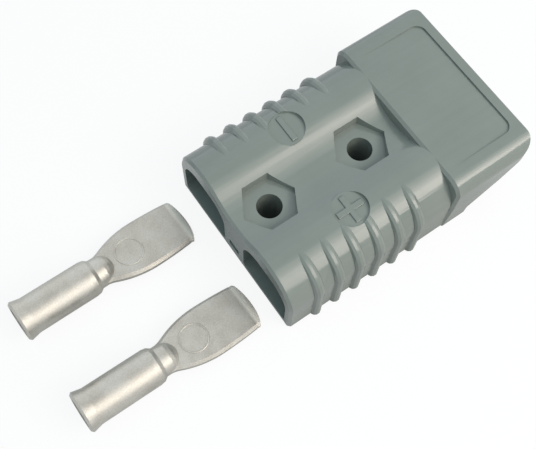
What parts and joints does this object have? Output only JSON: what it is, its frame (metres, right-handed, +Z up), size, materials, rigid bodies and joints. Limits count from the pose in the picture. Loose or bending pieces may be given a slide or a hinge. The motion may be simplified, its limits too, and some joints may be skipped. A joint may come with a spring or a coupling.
{
  "type": "genderless power connector",
  "caption": "Genderless power cable connector: ribbed moulded housing with open hood, cable chambers, mounting holes, spring leaves and loose plated crimp contacts laid behind it.",
  "frame": {"origin": "on the base plane, midway between the two mounting holes", "axes": "+X from the cable end to the mating end, +Y to the left (negative pole), +Z up from the base"},
  "size_m": [0.1414, 0.0558, 0.0254],
  "materials": {
    "housing_plastic": "semi-gloss moulded",
    "contact_plating": "satin silver plating",
    "spring_steel": "satin"
  },
  "bodies": {
    "root": {"housing": "housing_plastic", "positive_contact": "contact_plating", "negative_contact": "contact_plating", "positive_spring": "spring_steel", "negative_spring": "spring_steel"}
  },
  "joints": []
}
